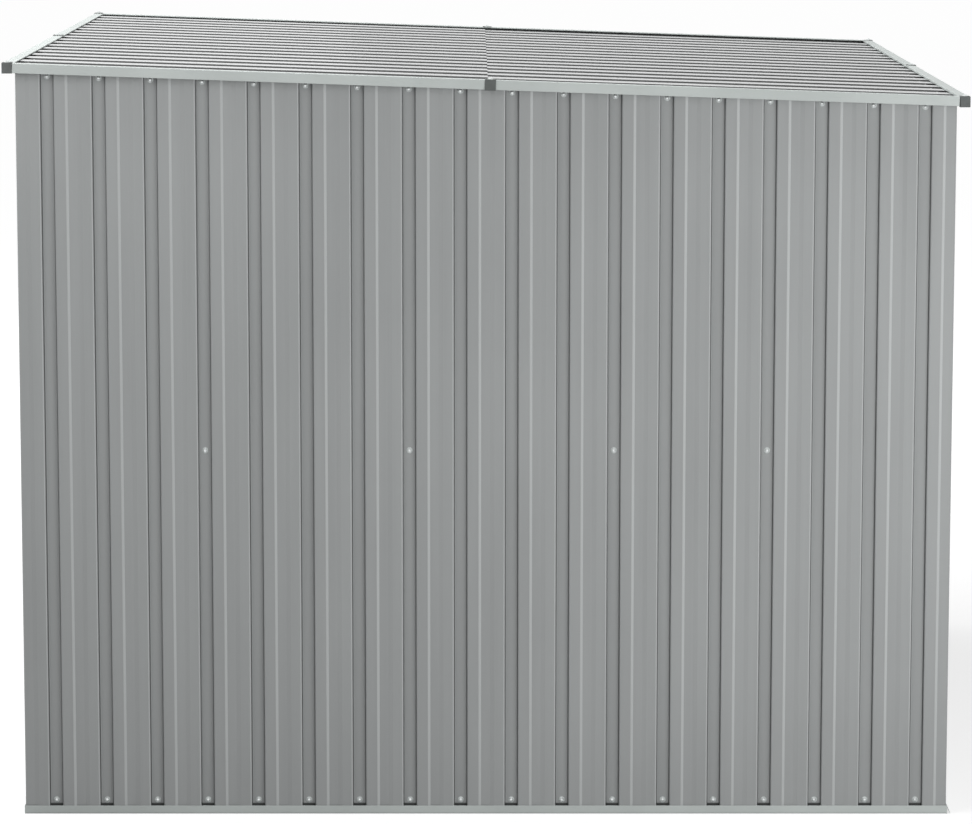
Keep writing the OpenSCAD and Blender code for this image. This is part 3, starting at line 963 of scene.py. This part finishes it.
class SHED_OT_caps(bpy.types.Operator):
    """Moulded caps over the corners and joints of the roof rails"""

    bl_idname = "shed.caps"
    bl_label = "Roof caps"

    def execute(self, context):
        inner, outer = -RAIL_TALL - FIT, -RAIL_TALL - CAP_THICK
        back = CAP_OPEN - RAIL_WIDE
        outline = [
            (CAP_THICK, CAP_THICK), (CAP_THICK, outer), (back, outer), (back, inner),
            (FIT, inner), (FIT, FIT), (-RAIL_WIDE, FIT), (-RAIL_WIDE, CAP_THICK),
        ]
        joints = []
        for side, on in ROOF_SIDES.items():
            place = along(ON_ROOF @ on, CAP_JOINT[side] - JOINT_CAP / 2)
            joints.append(fold(outline, JOINT_CAP, "cap", place, CAP_BEND))
        piece("moulded_joint_caps", joints, ["roof_joint_caps"])
        corners = [self.corner(x, y) for x, y in CORNERS]
        piece("moulded_corner_caps", corners, ["roof_corner_caps"])
        return {"FINISHED"}

    def corner(self, x, y):
        """A hollow cap on one corner, open below, with rounded upper edges and corners."""
        tall = RAIL_TALL + 2 * CAP_THICK
        foot = roof_top(x * ROOF_HALF) - RAIL_TALL - CAP_THICK
        shape = bmesh.new()
        bmesh.ops.create_cube(shape, size=1.0)
        for vert in shape.verts:
            vert.co = Vector((vert.co.x * CORNER_CAP, vert.co.y * CORNER_CAP, (vert.co.z + 0.5) * tall))
        below = [face for face in shape.faces if face.calc_center_median().z < FIT]
        bmesh.ops.delete(shape, geom=below, context="FACES")
        bmesh.ops.recalc_face_normals(shape, faces=shape.faces[:])
        edges = [edge for edge in shape.edges if not edge.is_boundary]
        bmesh.ops.bevel(
            shape, geom=edges, offset=CORNER_ROUND, segments=CORNER_STEPS, profile=0.5, affect="EDGES"
        )
        bmesh.ops.translate(shape, vec=(x * CAP_MIDDLE, y * CAP_MIDDLE, foot), verts=shape.verts[:])

        def hollow(obj):
            wall = obj.modifiers.new("Wall", "SOLIDIFY")
            wall.thickness = CAP_THICK
            wall.offset = -1.0

        return plain_mesh(mesh_of(shape, "cap"), hollow)


def hinge_plate(low, high):
    """A closed plate on the high wall, with rounded edges."""
    shape = bmesh.new()
    bmesh.ops.create_cube(shape, size=1.0)
    for vert in shape.verts:
        vert.co = Vector([low[i] + (vert.co[i] + 0.5) * (high[i] - low[i]) for i in range(3)])
    bmesh.ops.bevel(
        shape,
        geom=shape.edges[:],
        offset=HINGE_ROUND,
        segments=HINGE_STEPS,
        profile=0.5,
        affect="EDGES",
        clamp_overlap=True,
    )
    bmesh.ops.transform(shape, matrix=ON_HIGH, verts=shape.verts[:])
    bmesh.ops.recalc_face_normals(shape, faces=shape.faces[:])
    return mesh_of(shape, "zinc")


def knuckle(radius, low, high, place):
    """A round pin with chamfered ends along local Z."""
    sides = KNUCKLE_SIDES
    shape = bmesh.new()
    rings = []
    cut = 0.2 * radius
    for ring, z in ((radius - cut, low), (radius, low + cut), (radius, high - cut), (radius - cut, high)):
        turns = [i * 2 * math.pi / sides for i in range(sides)]
        rings.append([shape.verts.new((ring * math.cos(a), ring * math.sin(a), z)) for a in turns])
    for lower, upper in zip(rings, rings[1:]):
        for i in range(sides):
            j = (i + 1) % sides
            shape.faces.new((lower[i], lower[j], upper[j], upper[i])).smooth = True
    shape.faces.new(rings[0][::-1])
    shape.faces.new(rings[-1])
    bmesh.ops.transform(shape, matrix=place, verts=shape.verts[:])
    bmesh.ops.recalc_face_normals(shape, faces=shape.faces[:])
    return mesh_of(shape, "zinc")


class SHED_OT_doors(bpy.types.Operator):
    """Closed pair of doors on the high wall, with their frame, handles and hinges"""

    bl_idname = "shed.doors"
    bl_label = "Doors"

    def execute(self, context):
        rib = Rib(context.scene.shed_sheets)
        low, high = self.box("door_jambs")
        posts = [self.post(JAMB_WIDE, left, low.z, high.z) for left in (low.x, high.x - JAMB_WIDE)]
        piece("folded_door_jambs", posts, ["door_jambs"])
        low, high = self.box("door_header")
        header = self.beam(JAMB_WIDE, low.z, low.x, high.x)
        piece("folded_door_header", [header], ["door_header"])
        for side in ("near", "far"):
            node = f"door_leaf_{side}_frame"
            low, high = self.box(node)
            wide = STILE_WIDE
            bars = [self.post(wide, left, low.z, high.z) for left in (low.x, high.x - wide)]
            bars += [self.beam(wide, foot, low.x + wide, high.x - wide) for foot in (low.z, high.z - wide)]
            piece(f"folded_{node}", bars, [node])
            node = f"door_leaf_{side}_sheet"
            low, high = self.box(node)
            place = ON_HIGH @ Matrix.Translation((0, high.y, low.z))
            sheet = fold(rib.outline(low.x, high.x), high.z - low.z, "wall", place, groove=rib.depth)
            piece(f"ribbed_{node}", [sheet], [node])
        self.handles(*self.box("door_handles"))
        self.hinges(*self.box("door_hinges"))
        return {"FINISHED"}

    def box(self, node):
        """Lowest and highest corner of a node in the high wall's own directions."""
        corners = [ON_HIGH.inverted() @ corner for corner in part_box(node)]
        return Vector(map(min, *corners)), Vector(map(max, *corners))

    def channel(self, wide):
        """Section of a folded door bar, outer face at 0, open towards the inside."""
        deep, thick, inner = -BAR_DEEP, BAR_THICK, wide - BAR_THICK
        near_leg = [(0, 0), (0, deep), (thick, deep), (thick, -thick)]
        return near_leg + [(inner, -thick), (inner, deep), (wide, deep), (wide, 0)]

    def post(self, wide, left, foot, head):
        """An upright bar."""
        place = ON_HIGH @ Matrix.Translation((left, 0, foot))
        return fold(self.channel(wide), head - foot, "rail", place, BAR_BEND)

    def beam(self, wide, foot, left, right):
        """A level bar."""
        lying = Matrix.Translation((right, 0, foot)) @ Matrix.Rotation(-math.pi / 2, 4, "Y")
        return fold(self.channel(wide), right - left, "rail", ON_HIGH @ lying, BAR_BEND)

    def handles(self, low, high):
        """Two bow handles with rounded bends."""
        deep, tall = high.y - low.y, high.z - low.z
        foot, under = HANDLE_FOOT, deep - HANDLE_BAR
        outline = [(0, 0), (deep, 0), (deep, tall), (0, tall)]
        outline += [(0, tall - foot), (under, tall - foot), (under, foot), (0, foot)]
        made = []
        for left in (low.x, high.x - HANDLE_WIDE):
            place = ON_HIGH @ Matrix.Translation((left, low.y, low.z)) @ ALONG_X
            made.append(fold(outline, HANDLE_WIDE, "cap", place, HANDLE_BEND))
        piece("moulded_door_handles", made, ["door_handles"])

    def hinges(self, low, high):
        """Plates with a barrel in knuckles."""
        made = []
        radius = (high.y - low.y) / 2
        part = HINGE_TALL / KNUCKLES
        front = low.y + HINGE_THICK
        for left in (low.x, high.x - HINGE_WIDE):
            for centre in hinge_heights(low.z, high.z):
                foot = centre - HINGE_TALL / 2
                near = (left, low.y, foot)
                far = (left + HINGE_WIDE, front, foot + HINGE_TALL)
                made.append(hinge_plate(near, far))
                for i in range(KNUCKLES):
                    pin = Matrix.Translation((left + HINGE_WIDE / 2, low.y + radius, foot + i * part))
                    made.append(knuckle(radius, KNUCKLE_GAP, part - KNUCKLE_GAP, ON_HIGH @ pin))
        piece("pressed_door_hinges", made, ["door_hinges"])


def hinge_heights(low, high):
    """Middles of the three hinges of a door."""
    return low + HINGE_TALL / 2, (low + high) / 2, high - HINGE_TALL / 2


# Screws with washers
SCREWS = "Washer screws"
# Shares of the washer's or head's own radius and height, and facets
WASHER_TOP = 0.86
FLANGE_TOP, FLANGE_FOOT, FLANGE_TALL = 0.92, 1.12, 0.3
DOME_WIDE, DOME_TALL = 0.9, 0.75
ROUND_SIDES, DOME_SIDES, DOME_RINGS = 18, 14, 8
# Largest turn of a screw about its own axis, and the seed of those turns
SPIN, SEED = 1.05, 4
# Sockets of a Random Value node for numbers, which has a set of them for each kind of value
RANDOM_LOW, RANDOM_HIGH, RANDOM_RESULT = 2, 3, 1


def screw_tree():
    """Geometry Nodes: one screw with its washer on every point, turned to face its way."""
    inputs = {
        "Washer radius": "Float",
        "Washer thickness": "Float",
        "Head radius": "Float",
        "Head height": "Float",
        "Seed": "Int",
        "Washer finish": "Material",
        "Finish": "Material",
    }
    tree = new_tree(SCREWS, "Points", inputs, "Screws")
    net = Net(tree)
    given = net.node("NodeGroupInput").outputs
    washer_r = Val(net, given["Washer radius"])
    washer_tall = Val(net, given["Washer thickness"])
    head_r = Val(net, given["Head radius"])
    head_tall = Val(net, given["Head height"])

    def cone(top, foot, tall):
        sizes = {"Vertices": ROUND_SIDES, "Radius Top": top, "Radius Bottom": foot, "Depth": tall}
        return net.node("GeometryNodeMeshCone", None, sizes)

    washer = cone(washer_r * WASHER_TOP, washer_r, washer_tall)
    flange = cone(head_r * FLANGE_TOP, head_r * FLANGE_FOOT, head_tall * FLANGE_TALL)
    ball_sizes = {"Segments": DOME_SIDES, "Rings": DOME_RINGS, "Radius": head_r * DOME_WIDE}
    ball = net.node("GeometryNodeMeshUVSphere", None, ball_sizes)
    flat = net.node("ShaderNodeCombineXYZ", None, {0: 1.0, 1: 1.0, 2: DOME_TALL * head_tall / head_r})
    dome = net.node("GeometryNodeTransform", None, {"Geometry": ball, "Scale": flat})
    dome = net.node("GeometryNodeSetShadeSmooth", None, {0: dome})
    screw = net.node("GeometryNodeJoinGeometry")
    for shape, lift in (
        (washer, 0.0),
        (flange, washer_tall),
        (dome, washer_tall + FLANGE_TALL * head_tall),
    ):
        rise = net.node("ShaderNodeCombineXYZ", None, {2: lift})
        moved = net.node("GeometryNodeTransform", None, {"Geometry": shape, "Translation": rise})
        noted = net.node(
            "GeometryNodeStoreNamedAttribute",
            {"data_type": "BOOLEAN", "domain": "FACE"},
            {"Geometry": moved, "Name": "washer", "Value": shape is washer},
        )
        net.feed(screw.inputs[0], noted)
    facing = net.node("GeometryNodeInputNamedAttribute", {"data_type": "FLOAT_VECTOR"}, {"Name": "facing"})
    turn = net.node("FunctionNodeAlignRotationToVector", {"axis": "Z"}, {"Vector": facing})
    spin = net.node(
        "FunctionNodeRandomValue",
        {"data_type": "FLOAT"},
        {RANDOM_LOW: 0.0, RANDOM_HIGH: SPIN, "Seed": given["Seed"]},
    )
    about = net.node("ShaderNodeCombineXYZ", None, {2: spin.outputs[RANDOM_RESULT]})
    own = net.node("FunctionNodeEulerToRotation", None, {0: about})
    both = net.node("FunctionNodeRotateRotation", {"rotation_space": "LOCAL"}, {0: turn, 1: own})
    spread = net.node(
        "GeometryNodeInstanceOnPoints",
        None,
        {"Points": given["Points"], "Instance": screw, "Rotation": both},
    )
    real = net.node("GeometryNodeRealizeInstances", None, {"Geometry": spread})
    bright = net.node("GeometryNodeSetMaterial", None, {"Geometry": real, "Material": given["Finish"]})
    is_washer = net.node("GeometryNodeInputNamedAttribute", {"data_type": "BOOLEAN"}, {"Name": "washer"})
    done = net.node(
        "GeometryNodeSetMaterial",
        None,
        {"Geometry": bright, "Selection": is_washer, "Material": given["Washer finish"]},
    )
    net.node("NodeGroupOutput", None, {0: done})
    return tree


def fasten(name, places):
    """A piece of screws at (place, facing) pairs."""
    sizes = bpy.context.scene.shed_screws
    draft = bpy.data.meshes.new("points")
    draft.from_pydata([tuple(place) for place, _ in places], [], [])
    facing = draft.attributes.new("facing", "FLOAT_VECTOR", "POINT")
    for i, (_, way) in enumerate(places):
        facing.data[i].vector = way
    values = {
        "Washer radius": sizes.washer / 2,
        "Washer thickness": sizes.washer_thick,
        "Head radius": sizes.head / 2,
        "Head height": sizes.head_tall,
        "Seed": SEED,
        "Washer finish": finish("washer"),
        "Finish": finish("screw"),
    }
    mesh = run_tree(draft, bpy.data.node_groups.get(SCREWS) or screw_tree(), values)
    piece(name, [mesh])


class SHED_OT_screws(bpy.types.Operator):
    """Screws with washers in the grooves, on the roof and on the door hinges"""

    bl_idname = "shed.screws"
    bl_label = "Screws"

    def execute(self, context):
        sizes = context.scene.shed_sheets
        for side in ("near", "far", "low", "high"):
            fasten(f"screws_{side}_wall", self.wall(Rib(sizes), side))
        up = ON_ROOF.to_3x3() @ Vector((0, 0, 1))
        fasten("screws_roof", self.roof(Rib(sizes, roof=True), up))
        fasten("screws_caps", self.caps(up))
        fasten("screws_hinges", self.hinges(*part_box("door_hinges")))
        return {"FINISHED"}

    def wall(self, rib, side):
        """Screws at the head and foot of every groove, and where the sheets lap at the brace."""
        on = WALLS[side]
        out = on.to_3x3() @ Vector((0, 1, 0))
        places = []
        for groove in range(GROOVES):
            u = rib.centre(groove)
            x = (on @ Vector((u, 0, 0))).x
            heights = [roof_top(x) - RAIL_TALL - TOP_SCREW_DROP]
            if side != "high" or groove not in DOOR_GROOVES:
                heights.append(FOOT_SCREW)
            if side != "high" and groove in WALL_SEAMS[1:-1]:
                heights.append(BRACE_SCREW)
            places += [(on @ Vector((u, -rib.depth, z)), out) for z in heights]
        return places

    def roof(self, rib, up):
        """Screws at both ends of every valley."""
        end = HALF - ROOF_SCREW_IN
        places = []
        for groove in range(GROOVES):
            for x, drop in ((-end, 0.0), (end, rib.half_drop)):
                floor = -HEM - FIT - drop - rib.depth
                places.append((ON_ROOF @ Vector((x, rib.centre(groove), floor)), up))
        return places

    def caps(self, up):
        """One screw on every joint cap and corner cap."""
        places = []
        for side, on in ROOF_SIDES.items():
            places.append((ON_ROOF @ on @ Vector((CAP_JOINT[side], -CAP_SCREW_IN, CAP_THICK)), up))
        for x, y in CORNERS:
            head = roof_top(x * ROOF_HALF) + CAP_THICK
            places.append((Vector((x * CAP_MIDDLE, y * CAP_MIDDLE, head)), Vector((0, 0, 1))))
        return places

    def hinges(self, low, high):
        """Four screws on every hinge."""
        face = high.x - HINGE_THICK
        aside, above = HINGE_SCREWS
        places = []
        for y in (low.y + HINGE_WIDE / 2, high.y - HINGE_WIDE / 2):
            for z in hinge_heights(low.z, high.z):
                for i, j in CORNERS:
                    places.append((Vector((face, y + i * aside, z + j * above)), Vector((-1, 0, 0))))
        return places


# Stage: half the floor's width, the grey that lights the shed and the grey that takes its shadow
FLOOR_HALF = 60.0
FLOOR_LIGHT, FLOOR_SHADE = (0.34,) * 3, (0.42,) * 3
# The floor's glow near the shed and far off, and the distances between which it changes
NEAR_GLOW, FAR_GLOW = (0.70,) * 3, (0.88,) * 3
GLOW_CHANGE = (2.0, 6.0)
WHITE = (1.0, 1.0, 1.0)


class SHED_OT_stage(bpy.types.Operator):
    """Floor, surrounding light, lamps and camera"""

    bl_idname = "shed.stage"
    bl_label = "Stage"

    def execute(self, context):
        scene = context.scene
        stage = scene.shed_stage
        scene.view_settings.view_transform = "Standard"
        self.surround(scene, stage.sky)
        self.ground(scene)
        self.lamps(scene, stage)
        camera = bpy.data.objects.new("camera", bpy.data.cameras.new("camera"))
        scene.collection.objects.link(camera)
        camera.location = stage.place
        camera.rotation_euler = (math.pi / 2 - stage.tilt, 0.0, 0.0)
        camera.data.sensor_width = 36.0
        camera.data.lens = stage.lens
        camera.data.shift_x = stage.shift_x
        camera.data.shift_y = stage.shift_y
        camera.data.clip_end = 200.0
        scene.camera = camera
        return {"FINISHED"}

    def surround(self, scene, sky):
        """White to look at, and a softer light on the shed."""
        scene.world = bpy.data.worlds.new("surround")
        net = empty_net(scene.world)
        soft = net.node("ShaderNodeBackground", None, {"Color": WHITE, "Strength": sky})
        white = net.node("ShaderNodeBackground", None, {"Color": WHITE, "Strength": 1.0})
        mix = net.node("ShaderNodeMixShader", None, {0: seen_directly(net), 1: soft, 2: white})
        net.node("ShaderNodeOutputWorld", None, {0: mix})

    def ground(self, scene):
        """White floor with a soft shadow, which throws only some light back on the shed."""
        mesh = bpy.data.meshes.new("floor")
        half = FLOOR_HALF
        corners = [(-half, -half, 0), (half, -half, 0), (half, half, 0), (-half, half, 0)]
        mesh.from_pydata(corners, [], [(0, 1, 2, 3)])
        floor = bpy.data.objects.new("floor", mesh)
        scene.collection.objects.link(floor)
        material = bpy.data.materials.new("floor_white")
        net = empty_net(material)
        light = net.node("ShaderNodeBsdfDiffuse", None, {"Color": FLOOR_LIGHT})
        shade = net.node("ShaderNodeBsdfDiffuse", None, {"Color": FLOOR_SHADE})
        away = net.val("ShaderNodeVectorMath", "Value", {"operation": "LENGTH"}, {0: own_place(net)})
        glow_colour = tint(net, away.step(*GLOW_CHANGE), NEAR_GLOW, FAR_GLOW)
        glow = net.node("ShaderNodeEmission", None, {"Color": glow_colour})
        both = net.node("ShaderNodeAddShader", None, {0: shade, 1: glow})
        mix = net.node("ShaderNodeMixShader", None, {0: seen_directly(net), 1: light, 2: both})
        net.node("ShaderNodeOutputMaterial", None, {0: mix})
        mesh.materials.append(material)

    def lamps(self, scene, stage):
        """Area lamps, of which only the one for the sheen shows in glossy faces."""
        for name, place, aim, wide, tall, power in (
            ("key_lamp", (2.3, -3.6, 1.3), (0.5, -1.1, 0.9), 2.4, 1.6, stage.key),
            ("fill_lamp", (-1.6, -2.6, 2.4), (-0.2, -1.1, 1.2), 2.5, 1.4, stage.key * 0.33),
            ("top_lamp", (-2.0, 0.3, 6.0), (-0.5, 0.0, 0.0), 5.0, 5.0, stage.top),
            ("back_lamp", (-4.5, 7.0, 3.0), (0.0, 0.0, 0.9), 5.0, 3.5, stage.key * 1.9),
            ("sheen_lamp", (-3.2, 9.0, 2.8), (0.0, 0.0, 1.8), 5.5, 3.0, stage.key * 0.13),
        ):
            lamp = bpy.data.lights.new(name, "AREA")
            lamp.shape = "RECTANGLE"
            lamp.size = wide
            lamp.size_y = tall
            lamp.energy = power
            obj = bpy.data.objects.new(name, lamp)
            obj.visible_glossy = name == "sheen_lamp"
            obj.location = place
            obj.rotation_euler = (Vector(aim) - Vector(place)).to_track_quat("-Z", "Y").to_euler()
            scene.collection.objects.link(obj)


GROUPS = {
    "shed_sheets": ShedSheets,
    "shed_screws": ShedScrews,
    "shed_colours": ShedColours,
    "shed_stage": ShedStage,
}
STEPS = (
    SHED_OT_plain_nodes,
    SHED_OT_wall_sheets,
    SHED_OT_roof_sheets,
    SHED_OT_roof_rails,
    SHED_OT_base_rails,
    SHED_OT_caps,
    SHED_OT_doors,
    SHED_OT_screws,
    SHED_OT_stage,
)


class SHED_PT_panel(bpy.types.Panel):
    """Steps that dress the shed"""

    bl_idname = "SHED_PT_panel"
    bl_label = "Shed"
    bl_space_type = "VIEW_3D"
    bl_region_type = "UI"
    bl_category = "Shed"

    def draw(self, context):
        for step in STEPS:
            self.layout.operator(step.bl_idname)
        for key, group in GROUPS.items():
            box = self.layout.box()
            for name in group.__annotations__:
                box.prop(getattr(context.scene, key), name)


def register():
    for key, group in GROUPS.items():
        bpy.utils.register_class(group)
        setattr(bpy.types.Scene, key, PointerProperty(type=group))
    for step in STEPS:
        bpy.utils.register_class(step)
    bpy.utils.register_class(SHED_PT_panel)


def unregister():
    bpy.utils.unregister_class(SHED_PT_panel)
    for step in reversed(STEPS):
        bpy.utils.unregister_class(step)
    for key, group in GROUPS.items():
        delattr(bpy.types.Scene, key)
        bpy.utils.unregister_class(group)


def main():
    register()
    for step in STEPS:
        group, name = step.bl_idname.split(".")
        getattr(getattr(bpy.ops, group), name)()


if __name__ == "__main__":
    main()
